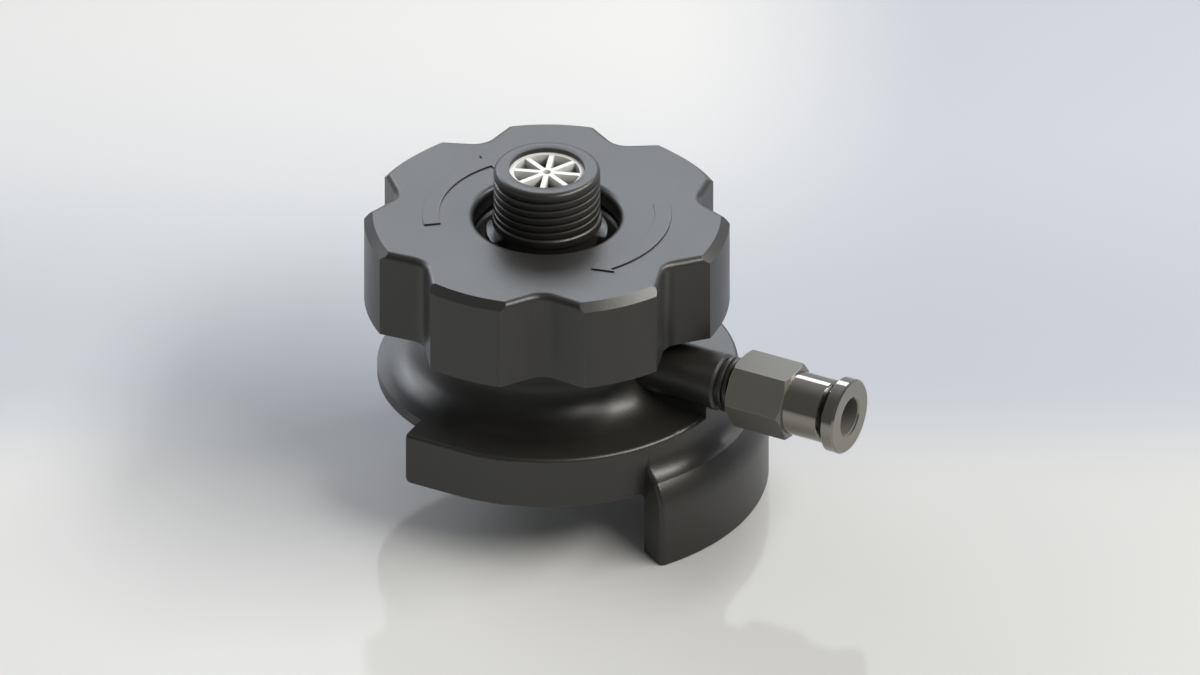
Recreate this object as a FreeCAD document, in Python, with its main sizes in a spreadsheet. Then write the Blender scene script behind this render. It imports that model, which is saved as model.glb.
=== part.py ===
import FreeCAD, Part
import math
import os
import re
import Sketcher
from FreeCAD import Placement, Rotation, Vector

# A keg coupler with a twist knob. The origin is on the coupler's axis, level with the top of the
# keg's neck. +Z points up to the beer outlet, +X along the gas inlet. Lengths are in millimetres.

doc = FreeCAD.newDocument("keg_coupler")

# Driving dimensions

SIZES = {
    # Socket that slides over the flange of the keg's neck
    "socket_radius": 36.2,
    "skirt_wall": 4.7,
    "skirt_drop": 9.3,
    "skirt_mouth": 12.3,
    "rail_reach": 3.2,
    "rail_height": 3.3,
    "flange_thickness": 2.4,
    "rim_fillet": 0.9,
    "skirt_corner": 1.2,
    # Leg at the closed side
    "leg_wall": 6.4,
    "leg_drop": 24.4,
    "leg_angle": 62.0,
    "leg_overlap": 0.6,
    "leg_edge": 1.0,
    "leg_root": 1.8,
    "foot_edge": 0.4,
    "cove_radius": 5.8,
    "brow_radius": 9.0,
    "brow_inset": 2.6,
    "brow_top_drop": 5.2,
    "brow_end_drop": 11.4,
    # Neck and its sleeve
    "shoulder_width": 4.6,
    "neck_height": 16.0,
    "rim_land": 2.8,
    "sleeve_radius": 20.0,
    "sleeve_bore": 15.0,
    "sleeve_height": 17.9,
    "sleeve_edge": 0.5,
    "web_thickness": 4.6,
    "chamber_height": 12.4,
    # Gas boss on the neck
    "gas_height": 9.2,
    "boss_radius": 6.2,
    "boss_length": 43.0,
    "boss_edge": 0.5,
    "boss_web": 8.4,
    "gas_passage": 2.5,
    "shank_length": 14.0,
    # Knob
    "knob_radius": 39.0,
    "knob_bottom": 18.7,
    "knob_top": 38.95,
    "knob_phase": 13.7,
    "lobe_angle": 25.0,
    "lobes": 7,
    "notch_depth": 5.5,
    "notch_turn": 30.2,
    "bevel_height": 1.6,
    "bevel_width": 1.87,
    "notch_round": 1.5,
    "knob_wall": 3.2,
    "knob_plate": 4.0,
    "knob_bore": 15.6,
    "bore_round": 1.5,
    "hub_wall": 3.2,
    "pocket_root_angle": 35.0,
    "pocket_tip_angle": 18.0,
    # Cam sleeve, its slots and the swing of the knob
    "cam_wall": 4.9,
    "knob_swing": 120.0,
    "probe_travel": 8.5,
    "pin_height": 23.4,
    "pin_radius": 1.75,
    "pin_end_gap": 1.38,
    "pin_foot": 9.6,
    "key_width": 4.0,
    "key_depth": 1.4,
    "key_azimuth": 30.0,
    "keys": 2,
    "pin_azimuth": 90.0,
    # Thrust washer and snap ring
    "washer_thickness": 1.0,
    "ring_lift": 1.5,
    "ring_thickness": 1.0,
    "ring_bite": 1.1,
    "ring_width": 2.0,
    "ring_gap_angle": 20.0,
    # Probe
    "tube_radius": 9.0,
    "tube_bore": 6.0,
    "tube_bottom_drop": 6.8,
    "tube_top": 33.0,
    "collar_radius": 11.5,
    "collar_thickness": 2.1,
    "carrier_radius": 14.7,
    "carrier_height": 8.0,
    "carrier_base": 19.5,
    "carrier_edge": 0.6,
    "disc_radius": 13.6,
    "disc_thickness": 1.5,
    "seal_radius": 15.1,
    "seal_thickness": 3.1,
    "seal_round": 0.6,
    "retainer_radius": 10.7,
    "retainer_thickness": 1.2,
    "retainer_length": 4.8,
    "retainer_bore": 4.8,
    "tool_slot_width": 2.0,
    "tool_slot_depth": 0.8,
    # Beer outlet
    "outlet_top": 50.5,
    "outlet_skirt_radius": 11.1,
    "thread_radius": 11.4,
    "thread_start": 39.8,
    "thread_chamfer": 1.2,
    "relief_depth": 0.8,
    "relief_height": 0.9,
    "outlet_collar_radius": 11.7,
    "outlet_collar_height": 1.9,
    "outlet_ear_radius": 13.0,
    "outlet_ear_top": 35.5,
    "outlet_ear_height": 4.0,
    "outlet_ear_angle": 45.0,
    "outlet_ear_phase": 33.5,
    "insert_radius": 8.05,
    "insert_sink": 1.0,
    "insert_height": 4.2,
    "insert_rim": 1.0,
    "insert_hub": 1.7,
    "insert_hole": 0.85,
    "spoke_width": 1.1,
    "spokes": 8,
    "spoke_phase": 19.5,
    "check_chamber": 7.4,
    "ball_radius": 5.5,
    "ball_seat_hole": 4.6,
    "ball_seat_radius": 8.8,
    "ball_seat_height": 1.4,
    "outlet_seal_height": 30.4,
    "outlet_seal_section": 0.82,
    "outlet_seal_groove": 1.65,
    # Seals in the body
    "rod_seal_height": 14.7,
    "rod_seal_section": 1.12,
    "rod_groove_depth": 2.32,
    "rod_groove_height": 2.4,
    "face_seal_inner": 17.3,
    "face_seal_outer": 21.3,
    "face_seal_depth": 2.5,
    "face_seal_stand": 0.8,
    # Gas nipple and its check valve, measured along the gas axis
    "nipple_shank": 4.95,
    "nipple_thread": 6.05,
    "nipple_length": 13.4,
    "nipple_bore": 2.6,
    "nipple_bevel": 0.5,
    "valve_chamber": 10.4,
    "valve_bore": 3.9,
    "valve_flange": 1.5,
    "valve_body": 2.9,
    "valve_lip": 0.9,
    "valve_length": 8.6,
    "valve_wall": 0.7,
    "nipple_washer_thickness": 0.9,
    # Push-in fitting
    "nipple_show": 4.0,
    "hex_length": 13.2,
    "hex_flats": 14.65,
    "hex_bevel": 0.9,
    "barrel_radius": 6.9,
    "barrel_length": 8.6,
    "barrel_bevel": 0.4,
    "fitting_thread": 6.1,
    "fitting_washer_thickness": 1.0,
    "fitting_throat": 2.9,
    "throat_length": 1.6,
    "tube_hole": 4.05,
    "tube_socket": 2.6,
    "pocket_radius": 5.75,
    "tube_seal_section": 0.84,
    "spacer_thickness": 0.9,
    "grab_thickness": 0.4,
    "grab_cone": 0.5,
    "grab_teeth": 12,
    "grab_slot_width": 0.6,
    "guide_length": 3.4,
    "guide_lip_radius": 6.2,
    "guide_lip": 0.2,
    "guide_bore": 4.95,
    "guide_catch": 5.35,
    "guide_catch_length": 1.8,
    # Release collet
    "collet_reach": 2.4,
    "collet_radius": 4.85,
    "collet_barb": 5.2,
    "collet_barb_length": 0.6,
    "collet_stand": 1.2,
    "collet_flange": 3.2,
    "collet_flange_radius": 8.2,
    "collet_chamfer": 0.4,
    # Clearances
    "running_gap": 0.08,
    "seat_gap": 0.05,
    "soft_gap": 0.1,
    "free_gap": 0.3,
    "overcut": 1.0,
}

sheet = doc.addObject("Spreadsheet::Sheet", "Sizes")
for row, (name, size) in enumerate(SIZES.items(), start=1):
    sheet.set(f"A{row}", name)
    sheet.set(f"B{row}", str(size))
    sheet.setAlias(f"B{row}", name)
doc.recompute()

# Sizes that follow from the driving dimensions

DERIVED = {
    "skirt_radius": "socket_radius + skirt_wall",
    "rail_radius": "socket_radius - rail_reach",
    "leg_radius": "skirt_radius + leg_wall",
    "leg_inner": "skirt_radius - leg_overlap",
    "cove_turn": "acos(1 - (leg_wall - brow_inset) / cove_radius)",
    "cove_top": "-brow_top_drop + cove_radius * sin(cove_turn)",
    "neck_radius": "sleeve_radius + shoulder_width",
    "neck_fillet": "socket_radius - neck_radius - rim_land",
    "sleeve_top": "neck_height + sleeve_height",
    "web_top": "chamber_height + web_thickness",
    "chamber_radius": "seal_radius + free_gap * 2",
    "washer_top": "neck_height + washer_thickness",
    "ring_height": "washer_top + ring_lift",
    "cam_bore": "sleeve_radius + running_gap",
    "cam_radius": "cam_bore + cam_wall",
    "cam_top": "knob_top - knob_plate",
    "pin_bearing": "cam_radius - pin_end_gap",
    "hub_bore": "cam_radius + seat_gap",
    "hub_radius": "hub_bore + hub_wall",
    "key_radius": "cam_radius + key_depth",
    "slot_half": "pin_radius + free_gap",
    "ring_floor": "sleeve_radius - ring_bite",
    "ring_inner": "ring_floor + soft_gap",
    "ring_outer": "ring_inner + ring_width",
    "collar_bottom": "carrier_base - collar_thickness",
    "carrier_top": "carrier_base + carrier_height",
    "seal_bottom": "-tube_bottom_drop - retainer_thickness",
    "disc_bottom": "seal_bottom + seal_thickness",
    "socket_bore": "tube_radius + seat_gap",
    "shoulder_level": "tube_top + ball_seat_height",
    "insert_top": "outlet_top - insert_sink",
    "insert_bottom": "insert_top - insert_height",
    "insert_seat": "insert_radius + seat_gap",
    "collar_base": "thread_start - outlet_collar_height",
    "face_groove_inner": "face_seal_inner - soft_gap",
    "face_groove_outer": "face_seal_outer + soft_gap",
    "boss_bore": "nipple_shank + seat_gap",
    "valve_end": "nipple_end - valve_flange",
    "guide_start": "barrel_end - guide_length",
    "guide_radius": "pocket_radius - seat_gap",
    "grab_place": "guide_start - grab_thickness - grab_cone",
    "spacer_place": "seal_pocket + tube_seal_section * 2 + soft_gap",
    "nipple_seat": "boss_length - shank_length",
    "nipple_foot": "nipple_seat + nipple_washer_thickness",
    "nipple_end": "boss_length + nipple_length",
    "valve_seat": "nipple_end - valve_chamber",
    "hex_start": "boss_length + nipple_show",
    "hex_end": "hex_start + hex_length",
    "barrel_end": "hex_end + barrel_length",
    "fitting_shoulder": "nipple_end + fitting_washer_thickness",
    "tube_stop": "fitting_shoulder + throat_length",
    "seal_pocket": "tube_stop + tube_socket",
    "collet_start": "barrel_end - collet_reach",
    "collet_flange_start": "barrel_end + collet_stand",
    "collet_end": "collet_flange_start + collet_flange",
    "hex_corner": "hex_flats / sqrt(3)",
    "ball_height": "shoulder_level + sqrt(ball_radius^2 - ball_seat_hole^2) + soft_gap",
    "slot_half_height": "slot_half / cos(atan(probe_travel / (cam_radius * knob_swing * pi / 180)))",
    "notch_half": "180 / lobes - lobe_angle / 2",
    "notch_corner_x": "knob_radius * cos(notch_half)",
    "notch_corner_y": "knob_radius * sin(notch_half)",
    "notch_rise": "notch_corner_x - knob_radius + notch_depth",
    "notch_sweep": "notch_corner_y * sin(notch_turn) - notch_rise * cos(notch_turn)",
    "notch_radius": "notch_sweep / (1 - cos(notch_turn))",
    "notch_centre": "knob_radius - notch_depth + notch_radius",
}


def formula(text):
    """Returns the text with each size name turned into a reference to the sheet."""

    def swap(match):
        word = match.group(0)
        if word in DERIVED:
            return "(" + formula(DERIVED[word]) + ")"
        return "Sizes." + word if word in SIZES else word

    return re.sub(r"[a-z][a-z_0-9]*", swap, text)


def value(text):
    """Returns the number that a formula gives with the sheet's present sizes."""
    return float(sheet.evalExpression(formula(text)))


# Ways of making a piece


def new_body(label):
    body = doc.addObject("PartDesign::Body", label)
    body.Label = label
    return body


def new_sketch(body, name, role, lift="0", turn="0"):
    """Puts a sketch on an origin plane, lifted along its normal and turned in its plane."""
    sketch = body.newObject("Sketcher::SketchObject", name)
    planes = [feature for feature in body.Origin.OriginFeatures if feature.Role == role]
    sketch.AttachmentSupport = [(planes[0], "")]
    sketch.MapMode = "FlatFace"
    sketch.AttachmentOffset = Placement(Vector(0, 0, 0), Rotation(Vector(0, 0, 1), 0))
    sketch.setExpression("AttachmentOffset.Base.z", formula(lift))
    sketch.setExpression("AttachmentOffset.Rotation.Angle", formula(turn))
    return sketch


def pin(sketch, edge, end, across, up):
    """Holds one end of an edge at two formulas, measured from the sketch's origin."""
    for direction, text in (("DistanceX", across), ("DistanceY", up)):
        rule = Sketcher.Constraint(direction, -1, 1, edge, end, value(text))
        index = sketch.addConstraint(rule)
        sketch.setExpression(f"Constraints[{index}]", formula(text))


def arc_between(start, finish, radius):
    """Returns the short arc from start to finish, bulging to the right if radius is positive."""
    chord = finish - start
    middle = (start + finish) * 0.5
    side = Vector(chord.y, -chord.x, 0).normalize()
    rise = abs(radius) - math.sqrt(max(radius * radius - chord.Length ** 2 / 4, 0.0))
    return Part.Arc(start, middle + side * math.copysign(rise, radius), finish)


def outline(sketch, corners, bends=None):
    """Draws a closed outline. An edge listed in bends is an arc with that formula as its radius."""
    bends = bends or {}
    points = [Vector(value(across), value(up), 0) for across, up in corners]
    count = len(points)
    ends = []
    for number, start in enumerate(points):
        finish = points[(number + 1) % count]
        if number in bends:
            edge = sketch.addGeometry(arc_between(start, finish, value(bends[number])), False)
            forward = sketch.getPoint(edge, 1).distanceToPoint(start) < 1e-6
            ends.append((edge, 1, 2) if forward else (edge, 2, 1))
        else:
            edge = sketch.addGeometry(Part.LineSegment(start, finish), False)
            ends.append((edge, 1, 2))
    for number, (edge, first, last) in enumerate(ends):
        following, start_end, _ = ends[(number + 1) % count]
        sketch.addConstraint(Sketcher.Constraint("Coincident", edge, last, following, start_end))
    for (edge, first, _), (across, up) in zip(ends, corners):
        pin(sketch, edge, first, across, up)
    for number, text in bends.items():
        edge = ends[number][0]
        index = sketch.addConstraint(Sketcher.Constraint("Radius", edge, abs(value(text))))
        sketch.setExpression(f"Constraints[{index}]", formula(f"abs({text})"))


def circle(sketch, across, up, radius):
    """Draws a circle whose centre and radius are formulas."""
    centre = Vector(value(across), value(up), 0)
    edge = sketch.addGeometry(Part.Circle(centre, Vector(0, 0, 1), value(radius)), False)
    pin(sketch, edge, 3, across, up)
    index = sketch.addConstraint(Sketcher.Constraint("Radius", edge, value(radius)))
    sketch.setExpression(f"Constraints[{index}]", formula(radius))


def turn(body, name, corners, bends=None, cut=False, angle="360"):
    """Revolves an outline of (radius, height) corners about the body's own Z axis."""
    sketch = new_sketch(body, name + "_sketch", "XZ_Plane")
    outline(sketch, corners, bends)
    kind = "PartDesign::Groove" if cut else "PartDesign::Revolution"
    feature = body.newObject(kind, name)
    feature.Profile = sketch
    feature.ReferenceAxis = (sketch, ["V_Axis"])
    feature.Midplane = True
    feature.setExpression("Angle", formula(angle))
    doc.recompute()
    return feature


def extrude(body, name, sketch, length, cut=False, both_ways=False, backwards=False):
    """Pads or pockets a sketch over a length."""
    feature = body.newObject("PartDesign::Pocket" if cut else "PartDesign::Pad", name)
    feature.Profile = sketch
    feature.setExpression("Length", formula(length))
    feature.Midplane = both_ways
    feature.Reversed = backwards
    doc.recompute()
    return feature


def repeat(body, name, features, count):
    """Repeats one feature or several evenly round the body's Z axis."""
    pattern = body.newObject("PartDesign::PolarPattern", name)
    pattern.Originals = features if isinstance(features, list) else [features]
    axes = [item for item in body.Origin.OriginFeatures if item.Role == "Z_Axis"]
    pattern.Axis = (axes[0], [""])
    pattern.Angle = 360
    pattern.setExpression("Occurrences", formula(count))
    body.Tip = pattern
    doc.recompute()
    return pattern


def dress(body, kind, name, size, wanted):
    """Fillets or chamfers the edges of the body's present shape that the test picks."""
    base = body.Tip
    names = [f"Edge{n}" for n, edge in enumerate(base.Shape.Edges, start=1) if wanted(edge)]
    feature = body.newObject("PartDesign::" + kind, name)
    feature.Base = (base, names)
    feature.setExpression("Radius" if kind == "Fillet" else "Size", formula(size))
    doc.recompute()
    return feature


def along(edge, test):
    """Says whether a test holds at three points spread along an edge."""
    first, last = edge.ParameterRange
    return all(test(edge.valueAt(first + share * (last - first))) for share in (0.1, 0.5, 0.9))


def matches(number, text):
    """Says whether a number is what a formula gives, to a hundredth of a millimetre."""
    return abs(number - value(text)) < 0.01


def is_ring(edge, radius, height):
    """Says whether an edge lies on the circle of a radius and height about the Z axis."""
    return along(edge, lambda at: matches(math.hypot(at.x, at.y), radius)
                 and matches(at.z, height))


def lay_on_gas_axis(item):
    """Turns a piece so that its own Z axis lies along the gas axis, pointing outwards."""
    item.Placement = Placement(Vector(0, 0, value("gas_height")), Rotation(Vector(0, 1, 0), 90))
    item.setExpression("Placement.Base.z", formula("gas_height"))


def ring(label, inner, outer, bottom, top):
    """Makes a plain ring with a rectangular section."""
    body = new_body(label)
    corners = [(inner, bottom), (outer, bottom), (outer, top), (inner, top)]
    turn(body, label + "_turn", corners)
    return body


def torus(label, middle, section):
    """Makes a round-section ring about its own Z axis."""
    item = doc.addObject("Part::Torus", label)
    item.Label = label
    item.setExpression("Radius1", formula(middle))
    item.setExpression("Radius2", formula(section))
    return item


# Body: flange, neck, sleeve, skirt with rails, leg and gas boss, moulded in one piece


def u_outline(sketch, radius):
    """Draws a U that is round at the closed side and straight towards the mouth."""
    corners = [
        ("-skirt_mouth", f"-({radius})"),
        ("0", f"-({radius})"),
        (radius, "0"),
        ("0", radius),
        ("-skirt_mouth", radius),
    ]
    outline(sketch, corners, {1: radius, 2: radius})


def make_body():
    body = new_body("body")
    leg = [
        ("skirt_radius - skirt_wall / 2", "cove_top"),
        ("skirt_radius - skirt_wall / 2", "-skirt_drop"),
        ("leg_inner", "-skirt_drop"),
        ("leg_inner", "-leg_drop"),
        ("leg_radius", "-leg_drop"),
        ("leg_radius", "-brow_end_drop"),
        ("leg_radius - brow_inset", "-brow_top_drop"),
        ("skirt_radius", "cove_top"),
    ]
    turn(body, "leg", leg, {5: "brow_radius", 6: "-cove_radius"}, angle="leg_angle")

    def on_leg_end(at):
        slope = math.tan(math.radians(value("leg_angle") / 2))
        return at.x > 0 and abs(abs(at.y) - slope * at.x) < 0.01

    dress(body, "Fillet", "leg_edges", "leg_edge",
          lambda edge: along(edge, lambda at: on_leg_end(at) and at.z > value("-leg_drop") + 0.1
                             and math.hypot(at.x, at.y) > value("skirt_radius")))
    dress(body, "Fillet", "foot_edges", "foot_edge",
          lambda edge: along(edge, lambda at: matches(at.z, "-leg_drop")))

    profile = [
        ("0", "0"),
        ("socket_radius", "0"),
        ("socket_radius", "flange_thickness"),
        ("neck_radius", "flange_thickness"),
        ("neck_radius", "neck_height"),
        ("sleeve_radius", "neck_height"),
        ("sleeve_radius", "sleeve_top"),
        ("0", "sleeve_top"),
    ]
    turn(body, "flange_and_neck", profile)
    dress(body, "Fillet", "neck_root", "neck_fillet",
          lambda edge: is_ring(edge, "neck_radius", "flange_thickness"))

    skirt = new_sketch(body, "skirt_sketch", "XY_Plane", "-skirt_drop")
    u_outline(skirt, "skirt_radius")
    extrude(body, "skirt", skirt, "skirt_drop + flange_thickness")
    hollow = new_sketch(body, "socket_sketch", "XY_Plane", "-skirt_drop + rail_height")
    u_outline(hollow, "socket_radius")
    extrude(body, "socket", hollow, "skirt_drop - rail_height", cut=True, backwards=True)
    throat = new_sketch(body, "rail_sketch", "XY_Plane", "-skirt_drop - overcut")
    u_outline(throat, "rail_radius")
    extrude(body, "rails", throat, "rail_height + overcut * 2", cut=True, backwards=True)
    dress(body, "Fillet", "rim", "rim_fillet",
          lambda edge: along(edge, lambda at: matches(at.z, "flange_thickness")
                             and (matches(math.hypot(at.x, at.y), "skirt_radius")
                                  or matches(abs(at.y), "skirt_radius"))))
    dress(body, "Fillet", "skirt_corners", "skirt_corner",
          lambda edge: along(edge, lambda at: matches(at.x, "-skirt_mouth")
                             and matches(at.z, "-skirt_drop")))

    dress(body, "Fillet", "leg_root", "leg_root",
          lambda edge: along(edge, lambda at: on_leg_end(at) and matches(at.z, "-skirt_drop")))

    boss = new_sketch(body, "boss_sketch", "YZ_Plane", turn="-90")
    circle(boss, "-gas_height", "0", "boss_radius")
    extrude(body, "boss", boss, "boss_length")
    web = new_sketch(body, "boss_web_sketch", "XY_Plane", "flange_thickness / 2")
    half_web = "boss_web / 2"
    tip = "sqrt(skirt_radius^2 - boss_web^2 / 4)"
    outline(web, [("neck_radius", f"-{half_web}"), (tip, f"-{half_web}"), (tip, half_web),
                  ("neck_radius", half_web)], {1: "skirt_radius"})
    extrude(body, "boss_web", web, "gas_height - flange_thickness / 2")
    dress(body, "Chamfer", "boss_rim", "boss_edge",
          lambda edge: along(edge, lambda at: matches(at.x, "boss_length")))

    inside = [
        ("0", "-overcut"),
        ("chamber_radius", "-overcut"),
        ("chamber_radius", "chamber_height"),
        ("tube_radius + running_gap", "chamber_height"),
        ("tube_radius + running_gap", "web_top"),
        ("sleeve_bore", "web_top"),
        ("sleeve_bore", "sleeve_top + overcut"),
        ("0", "sleeve_top + overcut"),
    ]
    turn(body, "chamber_and_bore", inside, cut=True)
    dress(body, "Chamfer", "sleeve_rim", "sleeve_edge",
          lambda edge: is_ring(edge, "sleeve_radius", "sleeve_top")
          or is_ring(edge, "sleeve_bore", "sleeve_top"))
    rod_groove = [
        ("tube_radius", "rod_seal_height - rod_groove_height / 2"),
        ("tube_radius + running_gap + rod_groove_depth", "rod_seal_height - rod_groove_height / 2"),
        ("tube_radius + running_gap + rod_groove_depth", "rod_seal_height + rod_groove_height / 2"),
        ("tube_radius", "rod_seal_height + rod_groove_height / 2"),
    ]
    turn(body, "rod_seal_groove", rod_groove, cut=True)
    face_groove = [
        ("face_groove_inner", "-overcut"),
        ("face_groove_outer", "-overcut"),
        ("face_groove_outer", "face_seal_depth"),
        ("face_groove_inner", "face_seal_depth"),
    ]
    turn(body, "face_seal_groove", face_groove, cut=True)
    snap_groove = [
        ("ring_floor", "ring_height - soft_gap"),
        ("sleeve_radius + overcut", "ring_height - soft_gap"),
        ("sleeve_radius + overcut", "ring_height + ring_thickness + soft_gap"),
        ("ring_floor", "ring_height + ring_thickness + soft_gap"),
    ]
    turn(body, "snap_ring_groove", snap_groove, cut=True)

    slots = new_sketch(body, "slot_sketch", "XZ_Plane")
    low = "pin_height - slot_half"
    high = "sleeve_top + overcut"
    wide = [("-slot_half", low), ("slot_half", low), ("slot_half", high), ("-slot_half", high)]
    outline(slots, wide)
    extrude(body, "pin_slots", slots, "sleeve_radius * 2 + overcut", cut=True, both_ways=True)

    passage = new_sketch(body, "passage_sketch", "YZ_Plane")
    circle(passage, "0", "gas_height", "gas_passage")
    extrude(body, "gas_passage", passage, "boss_length", cut=True, backwards=True)
    socket = new_sketch(body, "nipple_socket_sketch", "YZ_Plane", "nipple_seat")
    circle(socket, "0", "gas_height", "boss_bore")
    extrude(body, "nipple_socket", socket, "boss_length", cut=True, backwards=True)


# Seals and rings that stay with the body


def make_thrust_washer():
    ring("thrust_washer", "sleeve_radius + free_gap", "neck_radius - free_gap",
         "neck_height", "washer_top")


def make_knob_snap_ring():
    body = new_body("knob_snap_ring")
    corners = [
        ("ring_inner", "ring_height"),
        ("ring_outer", "ring_height"),
        ("ring_outer", "ring_height + ring_thickness"),
        ("ring_inner", "ring_height + ring_thickness"),
    ]
    turn(body, "split_ring", corners, angle="360 - ring_gap_angle")


def make_rod_seal():
    seal = torus("rod_seal", "tube_radius + running_gap + rod_seal_section", "rod_seal_section")
    seal.setExpression("Placement.Base.z", formula("rod_seal_height"))


def make_body_seal():
    body = new_body("body_seal")
    corners = [
        ("face_seal_inner", "-face_seal_stand"),
        ("face_seal_outer", "-face_seal_stand"),
        ("face_seal_outer", "face_seal_depth"),
        ("face_seal_inner", "face_seal_depth"),
    ]
    turn(body, "face_seal", corners)
    dress(body, "Fillet", "face_seal_round", "seal_round",
          lambda edge: is_ring(edge, "face_seal_outer", "-face_seal_stand")
          or is_ring(edge, "face_seal_inner", "-face_seal_stand"))


# Knob: a lobed hand wheel, open underneath, with a hub that grips the cam sleeve


def make_knob():
    body = new_body("knob")
    disc = [
        ("0", "knob_bottom"),
        ("knob_radius", "knob_bottom"),
        ("knob_radius", "knob_top - bevel_height"),
        ("knob_radius - bevel_width", "knob_top"),
        ("0", "knob_top"),
    ]
    turn(body, "knob_disc", disc)

    notch = new_sketch(body, "notch_sketch", "XY_Plane", "knob_bottom - overcut", "180 / lobes")
    touch_x = "notch_centre - notch_radius * cos(notch_turn)"
    touch_y = "notch_radius * sin(notch_turn)"
    edge_x = "knob_radius + overcut * 2"
    edge_y = "notch_corner_y + overcut"
    corners = [
        (touch_x, f"-{touch_y}"),
        (touch_x, touch_y),
        ("notch_corner_x", "notch_corner_y"),
        (edge_x, edge_y),
        (edge_x, f"-({edge_y})"),
        ("notch_corner_x", "-notch_corner_y"),
    ]
    outline(notch, corners, {0: "-notch_radius"})
    cut = extrude(body, "notch", notch, "knob_top - knob_bottom + overcut * 2", cut=True,
                  backwards=True)
    repeat(body, "notches", cut, "lobes")
    dress(body, "Fillet", "notch_round", "notch_round",
          lambda edge: along(edge, lambda at: matches(at.z, "knob_top")
                             and math.hypot(at.x, at.y) < value("knob_radius - bevel_width") - 0.01))

    lobe = new_sketch(body, "lobe_pocket_sketch", "XY_Plane", "knob_bottom - overcut")
    inner_x = "hub_radius * cos(pocket_root_angle / 2)"
    inner_y = "hub_radius * sin(pocket_root_angle / 2)"
    outer_x = "(knob_radius - knob_wall) * cos(pocket_tip_angle / 2)"
    outer_y = "(knob_radius - knob_wall) * sin(pocket_tip_angle / 2)"
    corners = [
        (inner_x, f"-{inner_y}"),
        (outer_x, f"-{outer_y}"),
        (outer_x, outer_y),
        (inner_x, inner_y),
    ]
    outline(lobe, corners, {1: "knob_radius - knob_wall", 3: "-hub_radius"})
    cut = extrude(body, "lobe_pocket", lobe, "cam_top - knob_bottom + overcut", cut=True,
                  backwards=True)
    repeat(body, "lobe_pockets", cut, "lobes")

    bore = [
        ("0", "knob_bottom - overcut"),
        ("hub_bore", "knob_bottom - overcut"),
        ("hub_bore", "cam_top"),
        ("knob_bore", "cam_top"),
        ("knob_bore", "knob_top + overcut"),
        ("0", "knob_top + overcut"),
    ]
    turn(body, "hub_bore", bore, cut=True)
    dress(body, "Fillet", "bore_round", "bore_round",
          lambda edge: is_ring(edge, "knob_bore", "knob_top"))

    keyway = new_sketch(body, "keyway_sketch", "XY_Plane", "knob_bottom - overcut",
                        "pin_azimuth + key_azimuth - knob_phase")
    half = "key_width / 2 + seat_gap"
    near = "hub_bore - overcut"
    far = "key_radius + seat_gap"
    outline(keyway, [(near, f"-({half})"), (far, f"-({half})"), (far, half), (near, half)])
    cut = extrude(body, "keyway", keyway, "cam_top - knob_bottom + overcut", cut=True,
                  backwards=True)
    repeat(body, "keyways", cut, "keys")
    body.Placement = Placement(Vector(0, 0, 0), Rotation(Vector(0, 0, 1), value("knob_phase")))
    body.setExpression("Placement.Rotation.Angle", formula("knob_phase"))


# Cam sleeve: two helical slots lift the drive pins as it turns


def make_cam_sleeve():
    body = new_body("cam_sleeve")
    tube = [
        ("cam_bore", "washer_top"),
        ("cam_radius", "washer_top"),
        ("cam_radius", "cam_top"),
        ("cam_bore", "cam_top"),
    ]
    turn(body, "cam_tube", tube)
    key = new_sketch(body, "key_sketch", "XY_Plane", "knob_bottom", "key_azimuth")
    near = "cam_radius - cam_wall / 2"
    half = "key_width / 2"
    outline(key, [(near, f"-{half}"), ("key_radius", f"-{half}"), ("key_radius", half), (near, half)])
    pad = extrude(body, "key", key, "cam_top - knob_bottom")
    repeat(body, "keys", pad, "keys")

    profile = new_sketch(body, "cam_slot_sketch", "XZ_Plane")
    near = "cam_bore - overcut"
    far = "key_radius + overcut"
    low = "pin_height - slot_half_height"
    high = "pin_height + slot_half_height"
    outline(profile, [(near, low), (far, low), (far, high), (near, high)])
    slot = body.newObject("PartDesign::SubtractiveHelix", "cam_slot")
    slot.Profile = profile
    slot.ReferenceAxis = (profile, ["V_Axis"])
    slot.Mode = "height-turns-angle"
    slot.setExpression("Height", formula("probe_travel"))
    slot.setExpression("Turns", formula("knob_swing / 360"))
    slot.LeftHanded = True
    doc.recompute()
    ends = [slot]
    for name, level, angle in (
        ("cam_slot_foot", "pin_height", "0"),
        ("cam_slot_head", "pin_height + probe_travel", "-knob_swing"),
    ):
        sketch = new_sketch(body, name + "_sketch", "YZ_Plane")
        sketch.AttachmentOffset = Placement(Vector(0, 0, 0), Rotation(Vector(0, 1, 0), value(angle)))
        sketch.setExpression("AttachmentOffset.Rotation.Angle", formula(angle))
        circle(sketch, "0", level, "slot_half")
        ends.append(extrude(body, name, sketch, "key_radius + overcut", cut=True, backwards=True))
    repeat(body, "cam_slots", ends, "2")

    groove = [
        ("cam_bore - overcut", "ring_height - free_gap"),
        ("ring_outer + free_gap", "ring_height - free_gap"),
        ("ring_outer + free_gap", "ring_height + ring_thickness + free_gap"),
        ("cam_bore - overcut", "ring_height + ring_thickness + free_gap"),
    ]
    turn(body, "cam_ring_groove", groove, cut=True)
    body.Placement = Placement(Vector(0, 0, 0), Rotation(Vector(0, 0, 1), value("pin_azimuth")))
    body.setExpression("Placement.Rotation.Angle", formula("pin_azimuth"))


# Probe: a steel tube with the pin carrier above and the seal that meets the keg's valve below


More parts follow.
